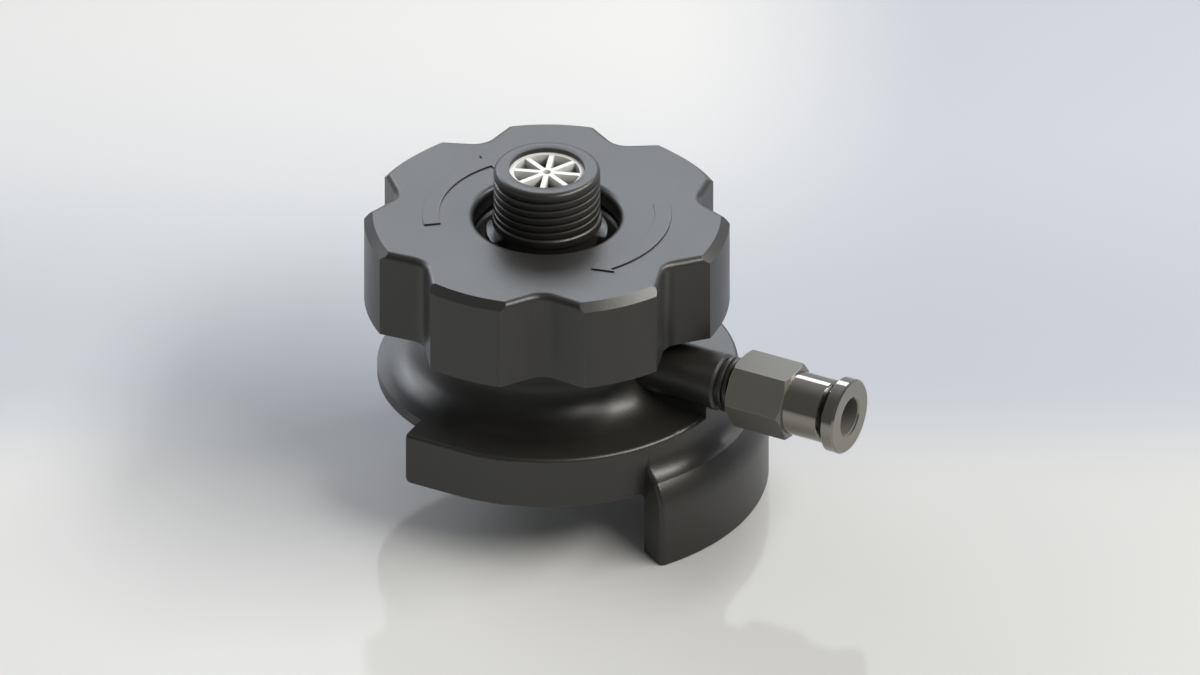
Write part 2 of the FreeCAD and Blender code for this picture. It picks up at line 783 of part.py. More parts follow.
def make_probe_tube():
    body = new_body("probe_tube")
    low = "outlet_seal_height - outlet_seal_section - soft_gap"
    high = "outlet_seal_height + outlet_seal_section + soft_gap"
    corners = [
        ("tube_bore", "-tube_bottom_drop"),
        ("tube_radius", "-tube_bottom_drop"),
        ("tube_radius", "disc_bottom"),
        ("disc_radius", "disc_bottom"),
        ("disc_radius", "disc_bottom + disc_thickness"),
        ("tube_radius", "disc_bottom + disc_thickness"),
        ("tube_radius", "collar_bottom"),
        ("collar_radius", "collar_bottom"),
        ("collar_radius", "carrier_base"),
        ("tube_radius", "carrier_base"),
        ("tube_radius", low),
        ("tube_radius - outlet_seal_groove", low),
        ("tube_radius - outlet_seal_groove", high),
        ("tube_radius", high),
        ("tube_radius", "tube_top"),
        ("tube_bore", "tube_top"),
    ]
    turn(body, "tube", corners)


def make_probe_seal():
    body = new_body("probe_seal")
    corners = [
        ("socket_bore", "-tube_bottom_drop"),
        ("retainer_radius + seat_gap", "-tube_bottom_drop"),
        ("retainer_radius + seat_gap", "seal_bottom"),
        ("seal_radius", "seal_bottom"),
        ("seal_radius", "disc_bottom"),
        ("socket_bore", "disc_bottom"),
    ]
    turn(body, "seal", corners)
    dress(body, "Fillet", "seal_edge", "seal_round",
          lambda edge: is_ring(edge, "seal_radius", "seal_bottom"))


def make_seal_retainer():
    body = new_body("seal_retainer")
    corners = [
        ("retainer_bore", "seal_bottom"),
        ("retainer_radius", "seal_bottom"),
        ("retainer_radius", "-tube_bottom_drop"),
        ("tube_bore - seat_gap", "-tube_bottom_drop"),
        ("tube_bore - seat_gap", "-tube_bottom_drop + retainer_length"),
        ("retainer_bore", "-tube_bottom_drop + retainer_length"),
    ]
    turn(body, "retainer", corners)
    slot = new_sketch(body, "tool_slot_sketch", "XY_Plane", "seal_bottom - overcut")
    half = "tool_slot_width / 2"
    far = "retainer_radius + overcut"
    outline(slot, [(f"-({far})", f"-{half}"), (far, f"-{half}"), (far, half), (f"-({far})", half)])
    extrude(body, "tool_slot", slot, "tool_slot_depth + overcut", cut=True, backwards=True)


def make_pin_carrier():
    body = new_body("pin_carrier")
    corners = [
        ("socket_bore", "carrier_base"),
        ("carrier_radius", "carrier_base"),
        ("carrier_radius", "carrier_top"),
        ("socket_bore", "carrier_top"),
    ]
    turn(body, "carrier", corners)
    dress(body, "Chamfer", "carrier_bevel", "carrier_edge",
          lambda edge: is_ring(edge, "carrier_radius", "carrier_base")
          or is_ring(edge, "carrier_radius", "carrier_top"))
    holes = new_sketch(body, "pin_hole_sketch", "XZ_Plane")
    circle(holes, "0", "pin_height", "pin_radius + seat_gap")
    extrude(body, "pin_holes", holes, "carrier_radius * 2 + overcut", cut=True, both_ways=True)


def make_drive_pins():
    for label, side in (("drive_pin_left", 1), ("drive_pin_right", -1)):
        item = doc.addObject("Part::Cylinder", label)
        item.Label = label
        item.setExpression("Radius", formula("pin_radius"))
        item.setExpression("Height", formula("pin_bearing - pin_foot"))
        lean = Rotation(Vector(1, 0, 0), -90 * side)
        item.Placement = Placement(Vector(0, side * value("pin_foot"), value("pin_height")), lean)
        item.setExpression("Placement.Base.y", formula(f"{side} * pin_foot"))
        item.setExpression("Placement.Base.z", formula("pin_height"))


# Beer outlet: threaded spigot with a collar and tool ears, flow insert and ball check valve


def make_outlet_spigot():
    body = new_body("outlet_spigot")
    corners = [
        ("socket_bore", "carrier_top"),
        ("outlet_skirt_radius", "carrier_top"),
        ("outlet_skirt_radius", "collar_base"),
        ("outlet_collar_radius", "collar_base"),
        ("outlet_collar_radius", "thread_start"),
        ("thread_radius - relief_depth", "thread_start"),
        ("thread_radius - relief_depth", "thread_start + relief_height"),
        ("thread_radius", "thread_start + relief_height + relief_depth"),
        ("thread_radius", "outlet_top - thread_chamfer"),
        ("thread_radius - thread_chamfer", "outlet_top"),
        ("insert_seat", "outlet_top"),
        ("insert_seat", "insert_bottom"),
        ("check_chamber", "insert_bottom"),
        ("check_chamber", "shoulder_level"),
        ("ball_seat_radius + seat_gap", "shoulder_level"),
        ("ball_seat_radius + seat_gap", "tube_top"),
        ("socket_bore", "tube_top"),
    ]
    turn(body, "spigot", corners)
    ear = new_sketch(body, "ear_sketch", "XY_Plane", "outlet_ear_top - outlet_ear_height",
                     "outlet_ear_phase")
    inner = "(outlet_skirt_radius - overcut)"
    across = " * cos(outlet_ear_angle / 2)"
    up = " * sin(outlet_ear_angle / 2)"
    corners = [
        (inner + across, "-" + inner + up),
        ("outlet_ear_radius" + across, "-outlet_ear_radius" + up),
        ("outlet_ear_radius" + across, "outlet_ear_radius" + up),
        (inner + across, inner + up),
    ]
    outline(ear, corners, {1: "outlet_ear_radius"})
    pad = extrude(body, "ear", ear, "outlet_ear_height")
    repeat(body, "ears", pad, "2")


def make_outlet_o_ring():
    middle = "tube_radius - outlet_seal_groove + outlet_seal_section + seat_gap"
    seal = torus("outlet_o_ring", middle, "outlet_seal_section")
    seal.setExpression("Placement.Base.z", formula("outlet_seal_height"))


def make_flow_insert():
    body = new_body("flow_insert")
    corners = [
        ("insert_hole", "insert_bottom"),
        ("insert_radius", "insert_bottom"),
        ("insert_radius", "insert_top"),
        ("insert_hole", "insert_top"),
    ]
    turn(body, "insert_disc", corners)
    window = new_sketch(body, "window_sketch", "XY_Plane", "insert_bottom - overcut",
                        "spoke_phase + 180 / spokes")
    rim = "(insert_radius - insert_rim)"
    hub_angle = "(180 deg / spokes - asin(spoke_width / 2 / insert_hub))"
    rim_angle = f"(180 deg / spokes - asin(spoke_width / 2 / {rim}))"
    corners = [
        (f"insert_hub * cos({hub_angle})", f"-insert_hub * sin({hub_angle})"),
        (f"{rim} * cos({rim_angle})", f"-{rim} * sin({rim_angle})"),
        (f"{rim} * cos({rim_angle})", f"{rim} * sin({rim_angle})"),
        (f"insert_hub * cos({hub_angle})", f"insert_hub * sin({hub_angle})"),
    ]
    outline(window, corners, {1: rim})
    cut = extrude(body, "window", window, "insert_height + overcut * 2", cut=True, backwards=True)
    repeat(body, "windows", cut, "spokes")


def make_ball_check():
    ring("ball_seat", "ball_seat_hole", "ball_seat_radius", "tube_top", "shoulder_level")
    ball = doc.addObject("Part::Sphere", "check_ball")
    ball.Label = "check_ball"
    ball.setExpression("Radius", formula("ball_radius"))
    ball.setExpression("Placement.Base.z", formula("ball_height"))


# Gas side: nipple with a duckbill check valve, and the push-in fitting screwed onto it


def make_gas_nipple():
    body = new_body("gas_nipple")
    corners = [
        ("nipple_bore", "nipple_foot"),
        ("nipple_shank", "nipple_foot"),
        ("nipple_shank", "boss_length"),
        ("nipple_thread", "boss_length"),
        ("nipple_thread", "nipple_end - nipple_bevel"),
        ("nipple_thread - nipple_bevel", "nipple_end"),
        ("valve_bore", "nipple_end"),
        ("valve_bore", "valve_seat"),
        ("nipple_bore", "valve_seat"),
    ]
    turn(body, "nipple", corners)
    lay_on_gas_axis(body)


def make_gas_washers():
    lay_on_gas_axis(ring("nipple_washer", "nipple_bore + soft_gap", "nipple_shank",
                         "nipple_seat", "nipple_foot"))
    lay_on_gas_axis(ring("fitting_washer", "fitting_throat + soft_gap",
                         "fitting_thread - soft_gap", "nipple_end", "fitting_shoulder"))


def make_gas_check_valve():
    body = new_body("gas_check_valve")
    tip = "nipple_end - valve_length"
    corners = [
        ("0", tip),
        ("valve_body", tip),
        ("valve_body", "valve_end"),
        ("valve_bore - soft_gap", "valve_end"),
        ("valve_bore - soft_gap", "nipple_end"),
        ("0", "nipple_end"),
    ]
    turn(body, "valve", corners)
    for name, side in (("upper_flat", ""), ("lower_flat", "-")):
        flat = new_sketch(body, name + "_sketch", "XZ_Plane")
        outline(flat, [
            (f"{side}valve_lip", f"{tip} - overcut"),
            (f"{side}valve_lip", tip),
            (f"{side}valve_body", "valve_end - valve_flange"),
            (f"{side}(valve_body + overcut)", "valve_end - valve_flange"),
            (f"{side}(valve_body + overcut)", f"{tip} - overcut"),
        ])
        extrude(body, name, flat, "valve_body * 2 + overcut", cut=True, both_ways=True)
    throat = new_sketch(body, "throat_sketch", "XZ_Plane")
    wide = "valve_body / 2"
    slit = "soft_gap / 2"
    outline(throat, [
        (f"-{wide}", "nipple_end + overcut"),
        (f"-{wide}", "valve_end - valve_flange"),
        (f"-{slit}", f"{tip} + valve_wall"),
        (f"-{slit}", f"{tip} - overcut"),
        (slit, f"{tip} - overcut"),
        (slit, f"{tip} + valve_wall"),
        (wide, "valve_end - valve_flange"),
        (wide, "nipple_end + overcut"),
    ])
    extrude(body, "valve_throat", throat, "valve_body", cut=True, both_ways=True)
    lay_on_gas_axis(body)


def make_fitting_body():
    body = new_body("fitting_body")
    hexagon = new_sketch(body, "hex_sketch", "XY_Plane", "hex_start")
    corners = [
        (f"hex_corner * cos({30 + 60 * side})", f"hex_corner * sin({30 + 60 * side})")
        for side in range(6)
    ]
    outline(hexagon, corners)
    extrude(body, "hex", hexagon, "hex_end - hex_start")
    out = "hex_corner + overcut"
    lean = "(hex_bevel + overcut) * tan(30)"
    for name, end, away in (("near_bevel", "hex_start", "+"), ("far_bevel", "hex_end", "-")):
        corners = [
            ("hex_corner - hex_bevel", end),
            (out, end),
            (out, f"{end} {away} {lean}"),
        ]
        turn(body, name, corners, cut=True)
    barrel = [
        ("0", "hex_end - overcut"),
        ("barrel_radius", "hex_end - overcut"),
        ("barrel_radius", "barrel_end - barrel_bevel"),
        ("barrel_radius - barrel_bevel", "barrel_end"),
        ("0", "barrel_end"),
    ]
    turn(body, "barrel", barrel)
    inside = [
        ("0", "hex_start - overcut"),
        ("fitting_thread", "hex_start - overcut"),
        ("fitting_thread", "fitting_shoulder"),
        ("fitting_throat", "fitting_shoulder"),
        ("fitting_throat", "tube_stop"),
        ("tube_hole", "tube_stop"),
        ("tube_hole", "seal_pocket"),
        ("pocket_radius", "seal_pocket"),
        ("pocket_radius", "barrel_end + overcut"),
        ("0", "barrel_end + overcut"),
    ]
    turn(body, "fitting_bore", inside, cut=True)
    lay_on_gas_axis(body)


def make_tube_grip():
    seal = torus("tube_o_ring", "tube_hole + tube_seal_section", "tube_seal_section")
    lay_on_gas_axis(seal)
    seal.setExpression("Placement.Base.x", formula("seal_pocket + tube_seal_section + seat_gap"))
    spacer = ring("o_ring_spacer", "tube_hole + soft_gap", "guide_radius",
                  "spacer_place", "spacer_place + spacer_thickness")
    lay_on_gas_axis(spacer)

    body = new_body("grab_ring")
    edge = "grab_place + grab_cone"
    corners = [
        ("tube_hole", "grab_place"),
        ("tube_hole", "grab_place + grab_thickness"),
        ("guide_bore", "guide_start"),
        ("guide_radius", "guide_start"),
        ("guide_radius", edge),
        ("guide_bore", edge),
    ]
    turn(body, "cone_ring", corners)
    gap = new_sketch(body, "tooth_gap_sketch", "XY_Plane", "grab_place - overcut")
    half = "grab_slot_width / 2"
    outline(gap, [("0", f"-{half}"), ("guide_bore", f"-{half}"), ("guide_bore", half), ("0", half)])
    cut = extrude(body, "tooth_gap", gap, "grab_cone + grab_thickness + overcut * 2", cut=True,
                  backwards=True)
    repeat(body, "tooth_gaps", cut, "grab_teeth")
    lay_on_gas_axis(body)


def make_collet_guide():
    body = new_body("collet_guide")
    corners = [
        ("guide_catch", "guide_start"),
        ("guide_radius", "guide_start"),
        ("guide_radius", "barrel_end"),
        ("guide_lip_radius", "barrel_end"),
        ("guide_lip_radius", "barrel_end + guide_lip"),
        ("guide_bore", "barrel_end + guide_lip"),
        ("guide_bore", "guide_start + guide_catch_length"),
        ("guide_catch", "guide_start + guide_catch_length"),
    ]
    turn(body, "guide", corners)
    lay_on_gas_axis(body)


def make_release_collet():
    body = new_body("release_collet")
    corners = [
        ("tube_hole", "collet_start"),
        ("collet_barb", "collet_start"),
        ("collet_barb", "collet_start + collet_barb_length"),
        ("collet_radius", "collet_start + collet_barb_length"),
        ("collet_radius", "collet_flange_start"),
        ("collet_flange_radius - collet_chamfer", "collet_flange_start"),
        ("collet_flange_radius", "collet_flange_start + collet_chamfer"),
        ("collet_flange_radius", "collet_end - collet_chamfer"),
        ("collet_flange_radius - collet_chamfer", "collet_end"),
        ("tube_hole + collet_chamfer", "collet_end"),
        ("tube_hole", "collet_end - collet_chamfer"),
    ]
    turn(body, "collet", corners)
    lay_on_gas_axis(body)


make_body()
make_body_seal()
make_rod_seal()
make_thrust_washer()
make_knob_snap_ring()
make_knob()
make_cam_sleeve()
make_probe_tube()
make_probe_seal()
make_seal_retainer()
make_pin_carrier()
make_drive_pins()
make_outlet_spigot()
make_outlet_o_ring()
make_flow_insert()
make_ball_check()
make_gas_nipple()
make_gas_washers()
make_gas_check_valve()
make_fitting_body()
make_tube_grip()
make_collet_guide()
make_release_collet()

# Write the pieces

doc.recompute()
PIECES = [
    item
    for item in doc.Objects
    if item.TypeId == "PartDesign::Body" or item.TypeId.startswith("Part::")
]
for item in doc.Objects:
    if "Invalid" in item.State or "Error" in item.State:
        raise RuntimeError(f"{item.Label} failed: {item.State}")
for item in PIECES:
    if item.Shape.isNull() or not item.Shape.isValid():
        raise RuntimeError(f"{item.Label} has no valid shape")
os.makedirs("parts", exist_ok=True)
for item in PIECES:
    item.Shape.exportStep(f"parts/{item.Label}.step")
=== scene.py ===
import math

import bmesh
import bpy
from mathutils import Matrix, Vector


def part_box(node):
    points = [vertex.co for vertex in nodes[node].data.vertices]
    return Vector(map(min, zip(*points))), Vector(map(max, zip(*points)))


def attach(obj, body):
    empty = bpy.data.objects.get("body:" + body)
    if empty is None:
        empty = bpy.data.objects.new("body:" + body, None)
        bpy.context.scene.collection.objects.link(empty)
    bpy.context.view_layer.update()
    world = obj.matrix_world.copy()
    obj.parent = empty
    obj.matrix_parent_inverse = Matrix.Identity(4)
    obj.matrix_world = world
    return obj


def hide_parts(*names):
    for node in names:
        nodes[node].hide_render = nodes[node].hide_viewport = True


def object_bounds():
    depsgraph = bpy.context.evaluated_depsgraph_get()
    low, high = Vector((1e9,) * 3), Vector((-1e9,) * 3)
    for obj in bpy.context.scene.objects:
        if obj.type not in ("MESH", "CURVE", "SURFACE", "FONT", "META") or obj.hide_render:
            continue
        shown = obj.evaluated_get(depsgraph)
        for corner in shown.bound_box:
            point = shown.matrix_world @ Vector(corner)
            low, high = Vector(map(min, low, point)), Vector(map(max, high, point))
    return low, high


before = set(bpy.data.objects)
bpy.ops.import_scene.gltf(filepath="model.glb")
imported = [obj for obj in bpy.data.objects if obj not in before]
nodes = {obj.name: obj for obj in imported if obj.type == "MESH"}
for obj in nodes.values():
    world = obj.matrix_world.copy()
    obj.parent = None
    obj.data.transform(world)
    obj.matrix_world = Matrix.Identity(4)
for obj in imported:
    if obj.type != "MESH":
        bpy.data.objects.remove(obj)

cad_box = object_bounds()
scene = bpy.context.scene
bpy.ops.object.select_all(action="DESELECT")

# Camera: a long lens with no perspective, looking down on the coupler from the side of its gas
# inlet and its open mouth. The frame is 255.8 mm wide at the object.

CAMERA_AZIMUTH = math.radians(28)
CAMERA_ELEVATION = math.radians(31.09)
FRAME_WIDTH = 0.2558
FRAME_SHIFT_RIGHT = 0.011311
FRAME_SHIFT_UP = 0.026493
CAMERA_TARGET_HEIGHT = -0.02265
CAMERA_DISTANCE = 0.9

right = Vector((math.cos(CAMERA_AZIMUTH), math.sin(CAMERA_AZIMUTH), 0))
away = Vector((-math.sin(CAMERA_AZIMUTH), math.cos(CAMERA_AZIMUTH), 0))
forward = away * math.cos(CAMERA_ELEVATION) - Vector((0, 0, math.sin(CAMERA_ELEVATION)))
upward = right.cross(forward)
aim = Vector((0, 0, CAMERA_TARGET_HEIGHT)) + right * FRAME_SHIFT_RIGHT + upward * FRAME_SHIFT_UP

camera_data = bpy.data.cameras.new("camera")
camera_data.type = "ORTHO"
camera_data.ortho_scale = FRAME_WIDTH
camera_data.clip_start = 0.05
camera_data.clip_end = 20
camera = bpy.data.objects.new("camera", camera_data)
scene.collection.objects.link(camera)
camera.location = aim - forward * CAMERA_DISTANCE
camera.rotation_euler = forward.to_track_quat("-Z", "Y").to_euler()
scene.camera = camera
scene.view_settings.view_transform = "Standard"

# Floor: a wide pale board with a faint sheen. Light falloff is painted into its colour: a painted
# shaded band in cooler grey runs across it behind the coupler, painted shade darkens it towards the
# right, and its far left is painted paler. The coupler's own shadow falls on it too.


class Field:
    """One output of a shader node. Arithmetic on it adds Math nodes."""

    def __init__(self, finish, socket):
        self.finish = finish
        self.socket = socket

    def combine(self, operation, first, second):
        return self.finish.node("Math", {"operation": operation}, {0: first, 1: second})

    def __add__(self, other):
        return self.combine("ADD", self, other)

    def __radd__(self, other):
        return self.combine("ADD", other, self)

    def __sub__(self, other):
        return self.combine("SUBTRACT", self, other)

    def __rsub__(self, other):
        return self.combine("SUBTRACT", other, self)

    def __mul__(self, other):
        return self.combine("MULTIPLY", self, other)

    def __rmul__(self, other):
        return self.combine("MULTIPLY", other, self)


class Finish:
    """One material. Its node method adds any shader node, and the others are common uses of it."""

    def __init__(self, name, owner=None):
        self.material = owner or bpy.data.materials.new(name)
        self.material.use_nodes = True
        self.tree = self.material.node_tree
        self.tree.nodes.clear()

    def node(self, kind, settings=None, inputs=None, output=0):
        made = self.tree.nodes.new("ShaderNode" + kind)
        for name, setting in (settings or {}).items():
            setattr(made, name, setting)
        for name, given in (inputs or {}).items():
            if isinstance(given, Field):
                self.tree.links.new(given.socket, made.inputs[name])
            else:
                made.inputs[name].default_value = given
        return Field(self, made.outputs[output]) if made.outputs else None

    def place(self, turn=(0, 0, 0), stretch=(1, 1, 1)):
        """The point on the piece in metres, turned and stretched."""
        point = self.node("TexCoord", output="Object")
        return self.node("Mapping", None, {"Vector": point, "Rotation": turn, "Scale": stretch})

    def mottle(self, place, scale, detail=3.0):
        """Soft random patches, from 0 to 1, about 1 / scale metres across."""
        return self.node("TexNoise", None, {"Vector": place, "Scale": scale, "Detail": detail})

    def between(self, mask, low, high):
        """Stretches the part of a mask from low to high over 0 to 1."""
        return self.node("MapRange", {"interpolation_type": "SMOOTHSTEP"}, {
            "Value": mask, "From Min": low, "From Max": high})

    def tint(self, mask, first, second):
        """Mixes two colours by a mask."""
        return self.node("Mix", {"data_type": "RGBA"}, {0: mask, 6: first, 7: second}, 2)

    def relief(self, height, depth):
        """Raises a mask by a depth in metres, as a bumpy normal."""
        return self.node("Bump", None, {"Height": height, "Distance": depth})

    def paint(self, inputs):
        """Ends the finish in one Principled shader."""
        shader = self.node("BsdfPrincipled", None, inputs)
        self.node("OutputMaterial", None, {"Surface": shader})
        return self.material


def shade(red, green, blue):
    return (red, green, blue, 1.0)


def dress(piece, material):
    piece.data.materials.clear()
    piece.data.materials.append(material)


FLOOR_SPAN = 6.0
# These colours paint light and shade into the board: the band behind the coupler and the right side
# carry painted shade, and the far left carries painted light.
NEAR_LEFT, NEAR_RIGHT = shade(0.74, 0.74, 0.735), shade(0.57, 0.57, 0.565)
SHADED_BAND_LEFT, SHADED_BAND_RIGHT = shade(0.565, 0.590, 0.635), shade(0.450, 0.475, 0.530)
FAR_LEFT, FAR_RIGHT = shade(0.87, 0.87, 0.87), shade(0.575, 0.600, 0.660)
NEAR_FADE = (-0.08, 0.10)
FAR_FADE = (0.02, 0.09)
BAND_FRONT = (-0.01, 0.04)
BAND_REAR = (0.05, 0.19)

bpy.ops.mesh.primitive_plane_add(size=FLOOR_SPAN, location=(0, 0, cad_box[0][2]))
floor = bpy.context.object
floor.name = "floor"
bpy.ops.object.transform_apply(location=True)
board = Finish("pale_board")
turned = board.place((0, 0, -CAMERA_AZIMUTH))
across = board.node("SeparateXYZ", None, {"Vector": turned})
back = board.node("SeparateXYZ", None, {"Vector": turned}, output=1)
# Painted shade: the board is mixed darker towards the right and through a band behind the coupler.
to_right = board.between(across, *NEAR_FADE)
near_colour = board.tint(to_right, NEAR_LEFT, NEAR_RIGHT)
shaded_band_colour = board.tint(to_right, SHADED_BAND_LEFT, SHADED_BAND_RIGHT)
far_colour = board.tint(board.between(across, *FAR_FADE), FAR_LEFT, FAR_RIGHT)
front_half = board.tint(board.between(back, *BAND_FRONT), near_colour, shaded_band_colour)
dress(floor, board.paint({
    "Base Color": board.tint(board.between(back, *BAND_REAR), front_half, far_colour),
    "Roughness": 0.07 + 0.02 * board.mottle(board.place(), 12, 1.0),
    "Specular IOR Level": 0.06,
}))

# Studio light: a large warm soft box on the right, a cool one behind the coupler that shines along
# its top faces, a small one behind its left side, and a room that is pale behind and dim in front.


def soft_box(name, bearing, elevation, distance, width, height, brightness, light_colour):
    """A rectangular area light. Bearing is to the right of the camera, in degrees."""
    data = bpy.data.lights.new(name, "AREA")
    data.shape = "RECTANGLE"
    data.size = width
    data.size_y = height
    data.energy = brightness * math.pi * width * height
    data.color = light_colour
    lamp = bpy.data.objects.new(name, data)
    scene.collection.objects.link(lamp)
    turn, rise = math.radians(bearing), math.radians(elevation)
    level = -away * math.cos(turn) + right * math.sin(turn)
    lamp.location = (level * math.cos(rise) + Vector((0, 0, math.sin(rise)))) * distance
    lamp.rotation_euler = (-lamp.location).to_track_quat("-Z", "Y").to_euler()
    lamp.visible_camera = False
    return lamp


soft_box("key_box", bearing=76, elevation=49, distance=0.9, width=1.15, height=0.19,
         brightness=13.8, light_colour=(1.0, 0.98, 0.925))
rear_box = soft_box("rear_box", bearing=180, elevation=36, distance=1.3, width=1.4, height=0.42,
                    brightness=4.1, light_colour=(0.89, 0.94, 1.0))
rear_box.visible_diffuse = False
soft_box("left_box", bearing=-138, elevation=32, distance=1.0, width=0.6, height=0.14,
         brightness=6.5, light_colour=(0.93, 0.96, 1.0))

ROOM_FRONT = shade(0.165, 0.165, 0.159)
ROOM_BACK = shade(0.58, 0.60, 0.65)
ROOM_SEEN = shade(0.80, 0.82, 0.86)
ROOM_FADE = (-0.2, 0.8)

scene.world = bpy.data.worlds.new("room")
scene.world.use_nodes = True
room = Finish("room", scene.world)
backwards = room.node("VectorMath", {"operation": "DOT_PRODUCT"},
                      {0: room.node("TexCoord"), 1: away}, 1)
walls = room.tint(room.between(backwards, *ROOM_FADE), ROOM_FRONT, ROOM_BACK)
seen = room.node("LightPath", output="Is Camera Ray")
air = room.node("Background", None, {"Color": room.tint(seen, walls, ROOM_SEEN)})
room.node("OutputWorld", None, {"Surface": air})

# Body and knob: moulded in charcoal glass-filled nylon. The mould's fine spark texture shows as a
# satin grain, sharp edges are polished a little lighter by handling, and the colour is mottled.

NYLON_DEEP, NYLON_PALE = shade(0.0184, 0.0178, 0.0158), shade(0.0230, 0.0222, 0.0198)
NYLON_RUBBED = shade(0.075, 0.075, 0.070)
NYLON_EDGE = 0.0006
COARSE_GRAIN = 0.000026
EDGE_FADE = (0.01, 0.12)


def sharp_edges(finish, radius):
    """A mask of the edges, as wide as a radius in metres."""
    rounded = finish.node("Bevel", {"samples": 4}, {"Radius": radius})
    flat = finish.node("NewGeometry", output="Normal")
    agreement = finish.node("VectorMath", {"operation": "DOT_PRODUCT"}, {0: rounded, 1: flat}, 1)
    return finish.between(1.0 - agreement, *EDGE_FADE)


def moulded_nylon(name, grain_depth):
    nylon = Finish(name)
    place = nylon.place()
    clouds = nylon.mottle(place, 70)
    grain = nylon.mottle(place, 2600, 2.0)
    worn = sharp_edges(nylon, NYLON_EDGE) * nylon.between(clouds, 0.40, 0.62)
    base = nylon.tint(clouds, NYLON_DEEP, NYLON_PALE)
    return nylon.paint({
        "Base Color": nylon.tint(worn * 0.35, base, NYLON_RUBBED),
        "Roughness": 0.32 + 0.05 * clouds + 0.04 * grain,
        "Specular IOR Level": 0.65,
        "Normal": nylon.relief(grain, grain_depth),
    })


charcoal_nylon = moulded_nylon("charcoal_nylon", COARSE_GRAIN)
for name in ("body", "knob"):
    dress(nodes[name], charcoal_nylon)

# Arrows on the knob: two curved arrows stand up from its top and point the way to turn it. They
# are moulded in one with the knob, with thin flat faces and crisp edges.


def draw_line(points):
    """Draws a line through points, from a plane merged to one vertex. Leaves edit mode on."""
    bpy.ops.object.select_all(action="DESELECT")
    bpy.ops.mesh.primitive_plane_add(size=0.001, location=(0, 0, 0))
    bpy.ops.object.mode_set(mode="EDIT")
    bpy.ops.mesh.select_mode(type="VERT")
    bpy.ops.mesh.select_all(action="SELECT")
    bpy.ops.mesh.merge(type="CENTER")
    here = Vector((0, 0, 0))
    for number, point in enumerate(points):
        step = Vector(point) - here
        if number == 0:
            bpy.ops.transform.translate(value=step)
        else:
            bpy.ops.mesh.extrude_region_move(TRANSFORM_OT_translate={"value": step})
        here = Vector(point)


def close_line():
    """Joins the two ends of the line that is being drawn."""
    shape = bmesh.from_edit_mesh(bpy.context.object.data)
    for corner in shape.verts:
        corner.select = len(corner.link_edges) < 2
    shape.select_flush_mode()
    bmesh.update_edit_mesh(bpy.context.object.data)
    bpy.ops.mesh.edge_face_add()


def face_outwards():
    """Points all faces of the piece that is being edited outwards, and leaves edit mode."""
    bpy.ops.mesh.select_all(action="SELECT")
    bpy.ops.mesh.normals_make_consistent(inside=False)
    bpy.ops.object.mode_set(mode="OBJECT")


def raise_outline(corners, height):
    """Makes a flat-topped solid by drawing its outline, filling it and drawing it up."""
    draw_line(corners)
    close_line()
    bpy.ops.mesh.select_all(action="SELECT")
    bpy.ops.mesh.edge_face_add()
    bpy.ops.mesh.extrude_region_move(TRANSFORM_OT_translate={"value": (0, 0, height)})
    face_outwards()
    return bpy.context.object


def at_angle(radius, degrees, height):
    turn = math.radians(degrees)
    return (radius * math.cos(turn), radius * math.sin(turn), height)


ARROW_INNER = 0.0230
ARROW_OUTER = 0.0266
ARROW_BARB_INNER = 0.0216
ARROW_BARB_OUTER = 0.0280
ARROW_TIP = 0.0246
ARROW_TAIL_ANGLE = 38
ARROW_NECK_ANGLE = -31
ARROW_TIP_ANGLE = -39.5
ARROW_STEP = 3
ARROW_RISE = 0.0003
ARROW_SINK = 0.0001
ARROW_EDGE = 0.00008

arrow_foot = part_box("knob")[1][2] - ARROW_SINK
sweep = range(ARROW_NECK_ANGLE, ARROW_TAIL_ANGLE + 1, ARROW_STEP)
arrow_outline = [(ARROW_OUTER, degrees) for degrees in sweep]
arrow_outline += [(ARROW_INNER, degrees) for degrees in reversed(sweep)]
arrow_outline += [(ARROW_BARB_INNER, ARROW_NECK_ANGLE), (ARROW_TIP, ARROW_TIP_ANGLE),
                  (ARROW_BARB_OUTER, ARROW_NECK_ANGLE)]
for side, half_turn in (("left", 180), ("right", 0)):
    corners = [at_angle(radius, degrees + half_turn, arrow_foot) for radius, degrees in arrow_outline]
    arrow = raise_outline(corners, ARROW_RISE + ARROW_SINK)
    arrow.name = "turn_arrow_" + side
    rounding = arrow.modifiers.new("edge", "BEVEL")
    rounding.width = ARROW_EDGE
    rounding.segments = 2
    bpy.ops.object.modifier_apply(modifier="edge")
    dress(arrow, charcoal_nylon)
    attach(arrow, "knob")

# Beer outlet: a moulded nylon spigot with a 5/8 inch pipe thread, a thread relief and a collar. Two
# ears under the collar take a tool. The thread is rounded at its crests, as moulded threads are.

MERGE_GAP = 1e-6
ROUNDED_ANGLE = math.radians(30)
SMOOTH_ANGLE = math.radians(35)
RIDGE_SINK = 0.0002
RIDGE_HALF_WIDTH = 0.49
RIDGE_FLANK = ((1.0, 0.97), (0.35, 0.84), (0.08, 0.72), (0.0, 0.56))


def pick(piece):
    """Selects one piece and makes it the active one."""
    bpy.ops.object.select_all(action="DESELECT")
    bpy.context.view_layer.objects.active = piece
    piece.select_set(True)


def turn_profile(name, profile, sides):
    """Turns a closed profile of (radius, height) corners about the upright axis, as on a lathe."""
    draw_line([(radius, 0, height) for radius, height in profile])
    close_line()
    bpy.ops.object.mode_set(mode="OBJECT")
    piece = bpy.context.object
    piece.name = name
    lathe = piece.modifiers.new("lathe", "SCREW")
    lathe.steps = lathe.render_steps = sides
    lathe.use_merge_vertices = True
    lathe.merge_threshold = MERGE_GAP
    lathe.use_smooth_shade = False
    bpy.ops.object.modifier_apply(modifier="lathe")
    bpy.ops.object.mode_set(mode="EDIT")
    bpy.ops.mesh.select_all(action="SELECT")
    bpy.ops.mesh.remove_doubles(threshold=MERGE_GAP)
    face_outwards()
    return piece


